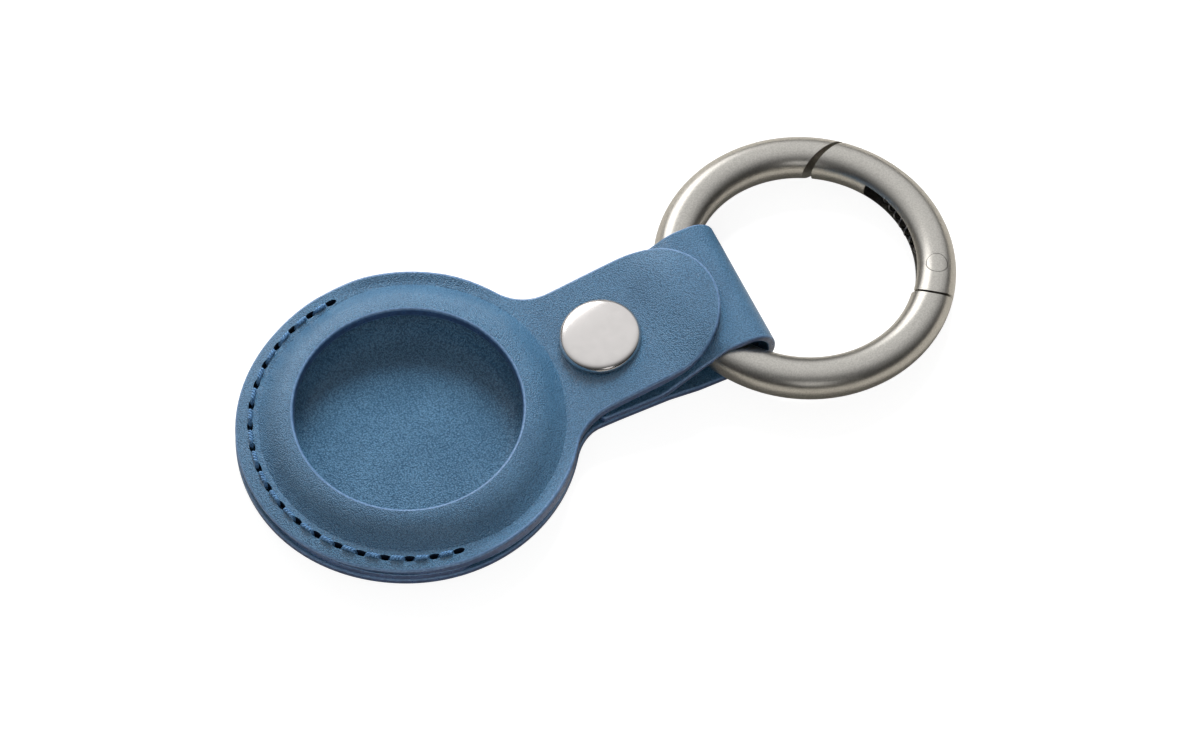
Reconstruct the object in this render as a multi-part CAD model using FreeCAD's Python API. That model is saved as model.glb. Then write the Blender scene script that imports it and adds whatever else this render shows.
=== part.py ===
import FreeCAD, Part
import math
import os

# Leather case for a coin-shaped tracker tag, with a strap loop, a snap flap and a spring-gate ring.
# +X runs from the case along the strap to the ring, +Z points out of the window side,
# and the origin is the middle of the dished floor that the case lies on. Sizes in millimetres.

V = FreeCAD.Vector

# Leather case
case_radius = 21.0
back_leather = 1.0
lining_leather = 1.0
front_leather = 1.4
dish_depth = 1.2
dish_floor_radius = 14.6
dish_wall_radius = 17.9
window_radius = 14.0
bead_crest_radius = 15.8
bead_foot_radius = 18.9
bead_height = 3.5
rim_drop = 0.35
neck_inset = 1.2

# Strap, its folded end and the flap
strap_half_width = 9.0
flap_half_width = 9.0
neck_fillet = 7.0
strap_drop = 0.6
strap_settle_run = 4.0
strap_settle_margin = 0.2
strap_end_setback = 2.1
strap_level_run = 4.2
strap_gap = 0.05
flap_rest_gap = 0.15
pressed_gap = 0.03
loop_root = 1.0
loop_length = 15.4
loop_slack = 1.59
loop_clearance = 0.12
edge_sink = 0.1
hinge_gap = 0.2
flap_setback = 4.3
flap_lift_run = 2.6

# Snap button
snap_setback = 6.0
snap_gap = 2.0
cap_radius = 5.1
cap_height = 1.55
cap_dome = 0.2
cap_edge_round = 1.1
cap_side_height = 0.55
cap_rim_inset = 0.4
cap_flare_width = 0.5
cap_flare_height = 0.12
cap_post_radius = 1.3
post_clearance = 0.05
socket_radius = 3.8
socket_cavity_radius = 2.7
socket_plate = 0.3
socket_bevel = 0.3
socket_clearance = 0.15
stud_flange_radius = 3.1
stud_flange = 0.3
stud_neck_radius = 1.6
stud_head_radius = 1.9
stud_head = 0.35
stud_bevel = 0.2
stud_height = 1.3
snap_wire = 0.5
post_head_radius = 4.0
post_head = 0.45
post_head_taper = 0.5
post_head_edge = 0.15
rivet_radius = 0.85

# Seam
stitch_count = 19
stitch_radius = 19.35
seam_start_angle = 96.0
seam_end_angle = 264.0
thread_radius = 0.28
needle_hole_radius = 0.42

# Ring, gate and spring
ring_radius = 16.3
tube_radius = 2.6
pin_angle = -27.5
latch_angle = 55.5
tail_angle = -43.0
gate_gap = 0.3
nose_relief_angle = 5.0
slot_end_angle = 31.0
slot_width = 2.2
slot_outer_wall = 0.5
tongue_width = 1.9
tongue_radius = 1.75
tongue_flat = 1.5
tongue_root_angle = 8.0
pin_radius = 1.3
pin_clearance = 0.03
pin_rim_gap = 0.06
plunger_radius = 0.9
plunger_nose = 0.9
plunger_stem = 1.3
plunger_gap = 0.1
spring_wire = 0.3
spring_coil_radius = 0.75
spring_turns = 9
spring_end_gap = 0.6

# Places along the strap, each from the one before it
neck_line = case_radius - neck_inset
strap_end_start = neck_line + strap_end_setback
snap_place = neck_line + snap_setback
strap_fall_end = snap_place + strap_level_run
loop_split = strap_fall_end + loop_root
loop_reach = strap_fall_end + loop_length
flap_tip = loop_reach - flap_setback
ring_reach_at_edge = math.sqrt(ring_radius ** 2 - strap_half_width ** 2)
ring_place = loop_reach - back_leather - loop_slack - tube_radius + ring_reach_at_edge

# Levels worked out from the sizes above
back_top = dish_depth + back_leather
lining_top = back_top + lining_leather
front_top = lining_top + front_leather
strap_low = dish_depth - strap_drop
strap_end_base = strap_low + back_leather + strap_gap
strap_end_top = strap_end_base + back_leather
ring_near_height = back_leather + loop_clearance + tube_radius + edge_sink
ring_tilt = math.degrees(math.atan2(ring_near_height - tube_radius, 2 * ring_radius))
ring_height = (ring_near_height + tube_radius) / 2
loop_inner_top = ring_near_height + tube_radius + loop_clearance
loop_top = loop_inner_top + back_leather
flap_snap_base = strap_end_top + snap_gap
flap_snap_top = flap_snap_base + front_leather
flap_tip_base = loop_top + flap_rest_gap


def save(shape, name):
    if not shape.isValid():
        raise ValueError(name + " is not a valid shape")
    shape.exportStep("parts/" + name + ".step")
    box = shape.BoundBox
    print(name, len(shape.Solids), round(shape.Volume, 2), [round(v, 2) for v in
          (box.XMin, box.XMax, box.YMin, box.YMax, box.ZMin, box.ZMax)])


def closed_face(edges):
    return Part.Face(Part.Wire(edges))


def line(a, b):
    return Part.LineSegment(a, b).toShape()


def polygon_face(points):
    corners = [V(x, 0, z) for x, z in points]
    return Part.Face(Part.makePolygon(corners + corners[:1]))


def lathe(points, place=V(0, 0, 0)):
    solid = polygon_face(points).revolve(V(0, 0, 0), V(0, 0, 1), 360)
    solid.translate(place)
    return solid


def offset_side(points, radii, shift):
    """Edges of a bent line moved sideways by shift, with a rounded bend at each inner point."""
    def heading(a, b):
        run = math.hypot(b[0] - a[0], b[1] - a[1])
        return ((b[0] - a[0]) / run, (b[1] - a[1]) / run)

    def moved(p, d, along=0.0, side=0.0):
        return V(p[0] + d[0] * along - d[1] * side, 0, p[1] + d[1] * along + d[0] * side)

    headings = [heading(a, b) for a, b in zip(points, points[1:])]
    edges = []
    start = moved(points[0], headings[0], side=shift)
    for corner, radius, before, after in zip(points[1:-1], radii, headings, headings[1:]):
        turn = math.atan2(before[0] * after[1] - before[1] * after[0],
                          before[0] * after[0] + before[1] * after[1])
        setback = radius * math.tan(abs(turn) / 2)
        side = math.copysign(1, turn)
        first = moved(corner, before, along=-setback, side=shift)
        last = moved(corner, after, along=setback, side=shift)
        centre = moved(corner, before, along=-setback, side=side * radius)
        middle = ((before[0] + after[0]) / 2, (before[1] + after[1]) / 2)
        length = math.hypot(*middle)
        outward = V(middle[1] / length * side, 0, -middle[0] / length * side)
        edges.append(line(start, first))
        edges.append(Part.Arc(first, centre + outward * (radius - side * shift), last).toShape())
        start = last
    edges.append(line(start, moved(points[-1], headings[-1], side=shift)))
    return edges


def strip(points, radii, thickness, half_width):
    """A band of leather that follows a bent line, with its thickness to the left of it."""
    low = offset_side(points, radii, 0.0)
    high = offset_side(points, radii, thickness)
    ends = [line(low[0].Vertexes[0].Point, high[0].Vertexes[0].Point),
            line(low[-1].Vertexes[-1].Point, high[-1].Vertexes[-1].Point)]
    face = Part.Face(Part.Wire(Part.__sortEdges__(low + high + ends)))
    face.translate(V(0, -half_width, 0))
    return face.extrude(V(0, 2 * half_width, 0))


def blank_outline(half_width, end, rounded):
    """Outline of a disc that runs through filleted necks into a band along +X."""
    reach = case_radius + neck_fillet
    neck_x = math.sqrt(reach ** 2 - (half_width + neck_fillet) ** 2)
    touch = V(neck_x, half_width + neck_fillet, 0) * (case_radius / reach)
    fillet_centre = V(neck_x, half_width + neck_fillet, 0)
    bisector = (touch - fillet_centre).normalize() + V(0, -1, 0)
    fillet_mid = fillet_centre + bisector.normalize() * neck_fillet
    upper = [touch, fillet_mid, V(neck_x, half_width, 0)]
    lower = [V(p.x, -p.y, 0) for p in upper]
    straight_end = end - half_width if rounded else end
    top_corner = V(straight_end, half_width, 0)
    low_corner = V(straight_end, -half_width, 0)
    tip = line(top_corner, low_corner)
    if rounded:
        tip = Part.Arc(top_corner, V(end, 0, 0), low_corner).toShape()
    return closed_face([
        Part.Arc(lower[0], V(-case_radius, 0, 0), upper[0]).toShape(),
        Part.Arc(*upper).toShape(),
        line(upper[2], top_corner),
        tip,
        line(low_corner, lower[2]),
        Part.Arc(*reversed(lower)).toShape(),
    ])


def prism(face, low, high):
    solid = face.copy()
    solid.translate(V(0, 0, low))
    return solid.extrude(V(0, 0, high - low))


def left_of(x):
    return Part.makeBox(200, 200, 200, V(x - 200, -100, -100))


def upright(radius, low, high, x=0.0, y=0.0):
    return Part.makeCylinder(radius, high - low, V(x, y, low))


def needle_points():
    step = (seam_end_angle - seam_start_angle) / stitch_count
    angles = [math.radians(seam_start_angle + step * k) for k in range(stitch_count + 1)]
    return [V(stitch_radius * math.cos(a), stitch_radius * math.sin(a), 0) for a in angles]


def needle_holes():
    return [upright(needle_hole_radius, 0, front_top + 1, p.x, p.y) for p in needle_points()]


def front_blank():
    """Front leather: flat flange, a moulded bead and the round window."""
    crest = front_top + bead_height
    rim = crest - rim_drop
    inner_foot = bead_foot_radius - front_leather
    flange = prism(blank_outline(flap_half_width, case_radius + neck_fillet, False), lining_top, front_top)
    flange = flange.cut(upright(inner_foot, 0, crest + 1))
    bead = closed_face([
        line(V(bead_foot_radius, 0, lining_top), V(bead_foot_radius, 0, front_top)),
        Part.Arc(V(bead_foot_radius, 0, front_top), V(bead_crest_radius, 0, crest),
                 V(window_radius, 0, rim)).toShape(),
        line(V(window_radius, 0, rim), V(window_radius, 0, rim - front_leather)),
        Part.Arc(V(window_radius, 0, rim - front_leather),
                 V(bead_crest_radius, 0, crest - front_leather), V(inner_foot, 0, lining_top)).toShape(),
        line(V(inner_foot, 0, lining_top), V(bead_foot_radius, 0, lining_top)),
    ]).revolve(V(0, 0, 0), V(0, 0, 1), 360)
    return flange.fuse(bead)


def front_panel():
    return front_blank().common(left_of(neck_line)).cut(needle_holes()).removeSplitter()


def flap_route():
    """Underside of the flap: up from the neck, level over the snap, then over the strap loop."""
    flap_start = neck_line + hinge_gap
    level_start = flap_start + flap_lift_run
    ramp_start = snap_place + cap_radius
    shoulder = loop_shoulder()
    points = [(flap_start - front_leather, lining_top), (flap_start, lining_top),
              (level_start, flap_snap_base),
              (ramp_start, flap_snap_base), (shoulder, flap_tip_base), (flap_tip, flap_tip_base)]
    return points, [front_leather * 1.3, front_leather * 1.3, front_leather * 3, front_leather * 3]


def front_flap():
    points, radii = flap_route()
    band = strip(points, radii, front_leather, case_radius)
    outline = prism(blank_outline(flap_half_width, flap_tip, True), 0, loop_top + 5 * front_leather)
    hole = upright(cap_post_radius + post_clearance, 0, flap_snap_top + 1, snap_place)
    under_cap = upright(cap_radius + pressed_gap, flap_snap_top, flap_snap_top + cap_height, snap_place)
    over_socket = upright(socket_radius + pressed_gap, strap_end_top, flap_snap_base, snap_place)
    flap = band.common(outline).cut([hole, under_cap, over_socket])
    return flap.cut(left_of(neck_line + hinge_gap))


def dish(low, thickness):
    """One dished ply. Each ply's floor is narrower than the one outside it by half its height."""
    top = low + thickness
    floor_low = dish_floor_radius - low / 2
    floor_top = dish_floor_radius - top / 2
    wall_width = dish_wall_radius - dish_floor_radius
    return lathe([(0, low), (floor_low, low), (floor_low + wall_width, low + dish_depth),
                  (case_radius, low + dish_depth), (case_radius, top + dish_depth),
                  (floor_top + wall_width, top + dish_depth), (floor_top, top), (0, top)])


def loop_hug():
    """Radius of the strap's outer face where it lies round the ring's tube."""
    return tube_radius + loop_clearance + back_leather


def loop_shoulder():
    """Where the strap's top starts to fall from the ring's tube towards its folded end."""
    along = ring_place - ring_radius - strap_fall_end
    down = ring_near_height - strap_end_top
    slope = math.atan2(down, along) + math.asin(loop_hug() / math.hypot(along, down))
    return ring_place - ring_radius - loop_hug() * math.tan(slope / 2)


def strap_band():
    """The strap by its outer face: from the neck, under the ring, round the fold and back to its end."""
    settle_end = strap_end_start - strap_settle_margin
    points = [(neck_line, dish_depth), (neck_line + strap_settle_margin, dish_depth), (settle_end, strap_low),
              (loop_split, strap_low), (loop_split + strap_settle_run, 0.0),
              (loop_reach, 0.0), (loop_reach, loop_top), (loop_shoulder(), loop_top),
              (strap_fall_end, strap_end_top), (strap_end_start, strap_end_top)]
    fold_radius = loop_top / 2 * 0.99
    gentle = 3 * back_leather
    radii = [back_leather / 10, 1.5 * back_leather, gentle, gentle, fold_radius, fold_radius,
             loop_hug(), gentle]
    return strip(points, radii, back_leather, case_radius)


def strap_solid():
    outline = prism(blank_outline(strap_half_width, loop_reach, False), -1, loop_top + 1)
    hole = upright(rivet_hole_radius(), -1, flap_snap_base, snap_place)
    return strap_band().common(outline).cut(hole)


def rivet_hole_radius():
    return cap_post_radius + post_clearance


def folded_end_space():
    start = strap_end_start - strap_gap
    low = V(start, -2 * strap_half_width, strap_end_base - strap_gap / 2)
    return Part.makeBox(loop_split - start, 4 * strap_half_width, 2 * loop_top, low)


def back_panel(strap):
    disc = dish(0.0, back_leather).common(left_of(neck_line))
    lower = strap.common(left_of(loop_split)).cut(folded_end_space())
    return disc.fuse(lower).cut(needle_holes()).removeSplitter()


def pocket_lining():
    lining = dish(back_leather, lining_leather)
    return lining.common(left_of(neck_line)).cut(needle_holes())


def strap_end(strap):
    return strap.common(folded_end_space())


def strap_loop(strap):
    return strap.cut(left_of(loop_split))


def seam_thread(height, leg_end):
    """One thread of the lockstitch: a bar along each stitch and a leg down each needle hole."""
    points = [p + V(0, 0, height) for p in needle_points()]
    pieces = []
    for a, b in zip(points, points[1:]):
        pieces.append(Part.makeCylinder(thread_radius, (b - a).Length, a, b - a))
    for p in points:
        pieces.append(Part.makeSphere(thread_radius, p))
        pieces.append(Part.makeCylinder(thread_radius, abs(leg_end - height), p, V(0, 0, leg_end - height)))
    return pieces[0].fuse(pieces[1:]).removeSplitter()


def snap_cap():
    base = flap_snap_top
    crown = base + cap_height
    shoulder = cap_radius - cap_edge_round
    dome_radius = (shoulder ** 2 + cap_dome ** 2) / (2 * cap_dome)
    half_sag = dome_radius - math.sqrt(dome_radius ** 2 - (shoulder / 2) ** 2)
    side_top = base + cap_side_height
    slant = cap_edge_round * (1 - math.sqrt(0.5))
    edge = Part.Arc(V(cap_radius, 0, side_top),
                    V(cap_radius - slant, 0, side_top + (crown - cap_dome - side_top) * math.sqrt(0.5)),
                    V(shoulder, 0, crown - cap_dome)).toShape()
    top = Part.Arc(V(shoulder, 0, crown - cap_dome), V(shoulder / 2, 0, crown - half_sag),
                   V(0, 0, crown)).toShape()
    flare_top = flap_snap_base - socket_plate
    flare_low = flare_top - cap_flare_height
    flare_radius = cap_post_radius + cap_flare_width
    outline = [(0, crown), (0, flare_low), (flare_radius, flare_low), (flare_radius, flare_top),
               (cap_post_radius, flare_top), (cap_post_radius, base),
               (cap_radius - cap_rim_inset, base), (cap_radius, side_top)]
    points = [V(x, 0, z) for x, z in outline]
    edges = [line(a, b) for a, b in zip(points, points[1:])] + [edge, top]
    cap = closed_face(edges).revolve(V(0, 0, 0), V(0, 0, 1), 360)
    cap.translate(V(snap_place, 0, 0))
    return cap


def wire_places():
    reach = stud_neck_radius + snap_wire / 2 + post_clearance
    return [V(snap_place - reach, 0, 0), V(snap_place + reach, 0, 0)]


def wire_height():
    return strap_end_top + stud_flange + snap_wire / 2 + post_clearance


def snap_spring():
    half = socket_cavity_radius
    wires = [Part.makeCylinder(snap_wire / 2, 2 * half, V(p.x, -half, wire_height()), V(0, 1, 0))
             for p in wire_places()]
    return Part.makeCompound(wires)


def snap_socket():
    low = strap_end_top + stud_flange + socket_clearance
    top = flap_snap_base
    hole = cap_post_radius + post_clearance
    body = lathe([(hole, top), (socket_radius - socket_bevel, top), (socket_radius, top - socket_bevel),
                  (socket_radius, low + socket_bevel), (socket_radius - socket_bevel, low),
                  (socket_cavity_radius, low), (socket_cavity_radius, top - socket_plate),
                  (hole, top - socket_plate)], V(snap_place, 0, 0))
    half = socket_cavity_radius + post_clearance
    grooves = [Part.makeCylinder(snap_wire / 2 + post_clearance, 2 * half,
                                 V(p.x, -half, wire_height()), V(0, 1, 0)) for p in wire_places()]
    return body.cut(grooves)


def snap_stud():
    base = strap_end_top
    top = base + stud_height
    hole = rivet_radius + post_clearance
    return lathe([(hole, base), (stud_flange_radius, base),
                  (stud_flange_radius - stud_bevel, base + stud_flange),
                  (stud_neck_radius, base + stud_flange), (stud_neck_radius, top - stud_head),
                  (stud_head_radius, top - stud_bevel), (stud_head_radius - stud_bevel, top),
                  (hole, top)], V(snap_place, 0, 0))


def snap_post():
    head_top = strap_low
    head_low = head_top - post_head
    return lathe([(0, head_low), (post_head_radius - post_head_taper, head_low),
                  (post_head_radius, head_top - post_head_edge),
                  (post_head_radius, head_top), (cap_post_radius, head_top), (cap_post_radius, strap_end_top),
                  (rivet_radius, strap_end_top), (rivet_radius, strap_end_top + stud_height),
                  (0, strap_end_top + stud_height)], V(snap_place, 0, 0))


def on_ring(angle, radius=None):
    reach = ring_radius if radius is None else radius
    return V(reach * math.cos(math.radians(angle)), reach * math.sin(math.radians(angle)), 0)


def ring_slab(thickness):
    return Part.makeBox(200, 200, thickness, V(-100, -100, -thickness / 2))


def pin_place():
    return on_ring(pin_angle)


def post_at_pin(radius, height):
    return Part.makeCylinder(radius, height, pin_place() - V(0, 0, height / 2))


def latch_reach():
    return (on_ring(latch_angle) - pin_place()).Length


def tail_reach():
    return (on_ring(tail_angle) - pin_place()).Length


def wedge(first, last):
    """A slice of space about the ring's axis between two angles."""
    far = 3 * ring_radius
    middle = (first + last) / 2
    return Part.Face(Part.makePolygon([V(0, 0, 0), on_ring(first, far), on_ring(middle, 2 * far),
                                       on_ring(last, far), V(0, 0, 0)])).extrude(V(0, 0, 4 * tube_radius))


def gate_wedge(margin):
    slice_of = wedge(tail_angle - margin, latch_angle + margin)
    slice_of.translate(V(0, 0, -2 * tube_radius))
    return slice_of


def gate_space(gap):
    """Room that the gate takes: inside the latch circle, up to the tail circle, both about the pin."""
    outer = post_at_pin(latch_reach() + gap, 6 * tube_radius).common(gate_wedge(15))
    beyond = wedge(tail_angle - 40, pin_angle)
    beyond.translate(V(0, 0, -2 * tube_radius))
    return outer.cut(beyond).fuse(post_at_pin(tail_reach() + gap, 6 * tube_radius).common(beyond))


def nose_relief():
    """The latch circle turned about the gate's outer edge, so that the gap widens towards the inside."""
    reach = latch_reach() - gate_gap / 2
    along = (reach ** 2 - (ring_radius + tube_radius) ** 2 + ring_radius ** 2) / (2 * ring_radius)
    across = math.sqrt(reach ** 2 - along ** 2)
    inward = pin_place() * (-1 / ring_radius)
    side = V(inward.y, -inward.x, 0)
    nose = post_at_pin(reach, 6 * tube_radius)
    nose.rotate(pin_place() + inward * along + side * across, V(0, 0, 1), nose_relief_angle)
    return nose


def slot_space():
    outer = ring_radius + tube_radius - slot_outer_wall
    ring_disc = Part.makeCylinder(outer, slot_width, V(0, 0, -slot_width / 2))
    slice_of = wedge(tail_angle - 20, slot_end_angle)
    slice_of.translate(V(0, 0, -2 * tube_radius))
    return ring_disc.common(slice_of)


def tongue():
    root = on_ring(tail_angle - tongue_root_angle)
    pin = pin_place()
    along = (pin - root).normalize()
    side = V(-along.y, along.x, 0)
    front = pin + spring_axis() * tongue_flat
    bar = Part.Face(Part.makePolygon([root + side * tongue_radius, pin + side * tongue_radius,
                                      pin - side * tongue_radius, root - side * tongue_radius,
                                      root + side * tongue_radius])).extrude(V(0, 0, tongue_width))
    bar.translate(V(0, 0, -tongue_width / 2))
    eye = post_at_pin(tongue_radius, tongue_width)
    half = 4 * tube_radius
    flat = Part.makeBox(half, 2 * half, 2 * half, V(0, -half, -half))
    flat.Placement = FreeCAD.Placement(front, FreeCAD.Rotation(V(1, 0, 0), spring_axis()))
    inside = Part.makeTorus(ring_radius, tube_radius).fuse(post_at_pin(tongue_radius, tongue_width))
    return bar.fuse(eye).cut(flat).common(inside)


def spring_axis():
    return (spring_seat() - pin_place()).normalize()


def spring_seat():
    """End of the coil, a little short of the slot's end wall."""
    back_off = math.degrees((spring_end_gap + spring_wire / 2) / ring_radius)
    return on_ring(slot_end_angle - back_off)


def in_place(shape):
    """Tilts a ring piece so that it lies on the strap at one side and on the table at the other."""
    placed = shape.copy()
    placed.rotate(V(0, 0, 0), V(0, 1, 0), ring_tilt)
    placed.translate(V(ring_place, 0, ring_height))
    return placed


def ring_body():
    tube = Part.makeTorus(ring_radius, tube_radius).cut(gate_space(gate_gap / 2))
    hole = post_at_pin(pin_radius + pin_clearance, 6 * tube_radius)
    return in_place(tube.fuse(tongue()).cut(hole).removeSplitter())


def ring_gate():
    gate = Part.makeTorus(ring_radius, tube_radius).common(gate_space(-gate_gap / 2)).common(nose_relief())
    hole = post_at_pin(pin_radius + pin_rim_gap, 6 * tube_radius)
    return in_place(gate.cut(slot_space()).cut(hole))


def gate_pin():
    return in_place(post_at_pin(pin_radius, 6 * tube_radius).common(Part.makeTorus(ring_radius, tube_radius)))


def plunger_start():
    return pin_place() + spring_axis() * (tongue_flat + plunger_gap)


def spring_plunger():
    start = plunger_start()
    nose = Part.makeCylinder(plunger_radius, plunger_nose, start, spring_axis())
    stem_start = start + spring_axis() * plunger_nose
    stem_radius = spring_coil_radius - spring_wire
    stem = Part.makeCylinder(stem_radius, plunger_stem, stem_start, spring_axis())
    return in_place(nose.fuse(stem).removeSplitter())


def spring_points():
    """Quarter-turn points of the coil, with its axis from the plunger's shoulder to the slot's end."""
    axis = spring_axis()
    side = V(-axis.y, axis.x, 0)
    up = V(0, 0, 1)
    start = plunger_start() + axis * (plunger_nose + spring_wire)
    length = (spring_seat() - start).Length
    steps = spring_turns * 8
    points = []
    for k in range(steps + 1):
        a = math.pi * k / 4
        points.append(start + axis * (length * k / steps) + side * (spring_coil_radius * math.cos(a))
                      + up * (spring_coil_radius * math.sin(a)))
    return points


def gate_spring():
    points = spring_points()
    arcs = [Part.Arc(points[k], points[k + 1], points[k + 2]).toShape() for k in range(0, len(points) - 2, 2)]
    path = Part.Wire(arcs)
    tangent = path.Edges[0].tangentAt(path.Edges[0].FirstParameter)
    section = Part.Wire(Part.makeCircle(spring_wire / 2, points[0], tangent))
    shell = Part.BRepOffsetAPI.MakePipeShell(path)
    shell.add(section)
    shell.build()
    shell.makeSolid()
    gaps = [(points[k] - points[j]).Length - spring_wire
            for k in range(len(points)) for j in range(k + 5, len(points))]
    print("least gap between spring turns", round(min(gaps), 3))
    return in_place(shell.shape())


os.makedirs("parts", exist_ok=True)
strap = strap_solid()
seam_middle = (dish_depth + front_top) / 2
save(front_panel(), "front_panel")
save(front_flap(), "front_flap")
save(back_panel(strap), "back_panel")
save(pocket_lining(), "pocket_lining")
save(strap_end(strap), "strap_end")
save(strap_loop(strap), "strap_loop")
save(seam_thread(front_top + thread_radius, seam_middle), "seam_top_thread")
save(seam_thread(dish_depth - thread_radius, seam_middle), "seam_bobbin_thread")
save(snap_cap(), "snap_cap")
save(snap_socket(), "snap_socket")
save(snap_spring(), "snap_spring")
save(snap_stud(), "snap_stud")
save(snap_post(), "snap_post")
save(ring_body(), "ring_body")
save(ring_gate(), "ring_gate")
save(gate_pin(), "gate_pin")
save(spring_plunger(), "spring_plunger")
save(gate_spring(), "gate_spring")
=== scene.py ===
import bmesh
import bpy
import math
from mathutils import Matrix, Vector


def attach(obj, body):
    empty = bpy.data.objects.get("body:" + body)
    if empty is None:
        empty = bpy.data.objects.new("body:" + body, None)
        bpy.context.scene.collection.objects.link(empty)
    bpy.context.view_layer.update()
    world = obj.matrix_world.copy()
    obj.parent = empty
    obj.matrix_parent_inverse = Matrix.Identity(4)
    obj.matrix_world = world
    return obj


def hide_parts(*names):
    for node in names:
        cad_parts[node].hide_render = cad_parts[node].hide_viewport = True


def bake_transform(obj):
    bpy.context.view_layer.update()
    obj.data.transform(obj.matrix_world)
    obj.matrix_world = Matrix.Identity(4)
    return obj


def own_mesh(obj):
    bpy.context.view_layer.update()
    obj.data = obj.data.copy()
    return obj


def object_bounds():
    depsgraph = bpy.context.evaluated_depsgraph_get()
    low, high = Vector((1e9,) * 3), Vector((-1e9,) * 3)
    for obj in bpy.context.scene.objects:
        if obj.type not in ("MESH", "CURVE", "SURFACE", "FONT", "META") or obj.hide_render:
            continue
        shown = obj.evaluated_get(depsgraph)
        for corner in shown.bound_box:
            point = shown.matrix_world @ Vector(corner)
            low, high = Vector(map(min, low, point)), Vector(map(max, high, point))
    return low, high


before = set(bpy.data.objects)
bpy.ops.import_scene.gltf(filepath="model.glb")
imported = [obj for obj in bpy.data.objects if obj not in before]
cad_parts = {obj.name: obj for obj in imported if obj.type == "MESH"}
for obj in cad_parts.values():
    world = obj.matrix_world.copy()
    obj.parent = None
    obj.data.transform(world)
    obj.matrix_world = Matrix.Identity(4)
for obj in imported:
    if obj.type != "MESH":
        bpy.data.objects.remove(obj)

cad_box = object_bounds()

# Studio: the case lies on a pale table under a broad soft light from behind and a weak fill from the front.
# The camera looks down on it from the near side, as steeply as in a catalogue picture.
scene = bpy.context.scene
scene.view_settings.view_transform = "Standard"


def linear(red, green, blue):
    """A colour given as seen on a screen, 0 to 255, as the light values that shaders use."""
    parts = [c / 255 for c in (red, green, blue)]
    return [p / 12.92 if p <= 0.04045 else ((p + 0.055) / 1.055) ** 2.4 for p in parts] + [1.0]


def new_material(name):
    material = bpy.data.materials.new(name)
    material.use_nodes = True
    nodes = material.node_tree.nodes
    return material, nodes, material.node_tree.links, nodes["Principled BSDF"]


def aim(thing, place, target):
    thing.location = place
    thing.rotation_euler = (Vector(target) - Vector(place)).to_track_quat("-Z", "Y").to_euler()


def ranged(nodes, from_low, from_high, to_low, to_high, shape="LINEAR"):
    node = nodes.new("ShaderNodeMapRange")
    node.interpolation_type = shape
    node.inputs["From Min"].default_value = from_low
    node.inputs["From Max"].default_value = from_high
    node.inputs["To Min"].default_value = to_low
    node.inputs["To Max"].default_value = to_high
    return node


def multiplied(nodes, factor=1.0):
    node = nodes.new("ShaderNodeMath")
    node.operation = "MULTIPLY"
    node.inputs[1].default_value = factor
    return node


def settle():
    """Puts the selected pieces' place, turn and scale into their meshes."""
    bpy.ops.object.transform_apply(location=True, rotation=True, scale=True)


def softbox(name, place, target, size, power, shines):
    data = bpy.data.lights.new(name, "AREA")
    data.shape = "DISK"
    data.size = size
    data.energy = power
    lamp = bpy.data.objects.new(name, data)
    scene.collection.objects.link(lamp)
    lamp.visible_glossy = shines
    aim(lamp, place, target)


middle = (0.023, 0.0, 0.004)
softbox("back_softbox", (0.24, 0.48, 0.40), middle, 0.30, 8.0, False)
softbox("back_strip", (-0.02, 0.58, 0.30), middle, 0.48, 1.2, True)
softbox("front_fill", (-0.22, -0.46, 0.38), middle, 0.50, 1.3, False)
softbox("front_card", (-0.10, -0.50, 0.28), middle, 0.22, 0.12, True)

camera_data = bpy.data.cameras.new("camera")
camera_data.lens = 158.8
camera_data.sensor_width = 36.0
camera_data.clip_start = 0.01
camera = bpy.data.objects.new("camera", camera_data)
scene.collection.objects.link(camera)
aim(camera, (-0.11573, -0.30303, 0.56321), (0.02355, -0.00468, 0.00480))
scene.camera = camera

world = bpy.data.worlds.new("studio_air")
world.use_nodes = True
scene.world = world
air = world.node_tree.nodes
air_links = world.node_tree.links
air_light = air["Background"]
air_light.inputs["Color"].default_value = (0.97, 0.985, 1.0, 1.0)
air_way = air.new("ShaderNodeTexCoord")
air_side = air.new("ShaderNodeVectorMath")
air_side.operation = "DOT_PRODUCT"
air_side.inputs[1].default_value = (0.18, 0.62, 0.763)
air_fall = ranged(air, -0.1, 1.0, 0.08, 1.0, "SMOOTHSTEP")
air_seen = air.new("ShaderNodeBackground")
air_rays = air.new("ShaderNodeLightPath")
air_soft = ranged(air, 0.0, 1.0, 1.0, 0.32)
air_parts = air.new("ShaderNodeSeparateXYZ")
air_low = ranged(air, 0.05, 0.45, 0.12, 1.0, "SMOOTHSTEP")
air_level = multiplied(air)
air_share = multiplied(air)
air_mix = air.new("ShaderNodeMixShader")
air_links.new(air_way.outputs["Generated"], air_side.inputs[0])
air_links.new(air_side.outputs["Value"], air_fall.inputs["Value"])
air_links.new(air_rays.outputs["Is Diffuse Ray"], air_soft.inputs["Value"])
air_links.new(air_fall.outputs["Result"], air_level.inputs[0])
air_links.new(air_soft.outputs["Result"], air_level.inputs[1])
air_links.new(air_way.outputs["Generated"], air_parts.inputs[0])
air_links.new(air_parts.outputs["Z"], air_low.inputs["Value"])
air_links.new(air_level.outputs[0], air_share.inputs[0])
air_links.new(air_low.outputs["Result"], air_share.inputs[1])
air_links.new(air_share.outputs[0], air_light.inputs["Strength"])
air_links.new(air_rays.outputs["Is Camera Ray"], air_mix.inputs[0])
air_links.new(air_light.outputs[0], air_mix.inputs[1])
air_links.new(air_seen.outputs[0], air_mix.inputs[2])
air_links.new(air_mix.outputs[0], air["World Output"].inputs["Surface"])

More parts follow.
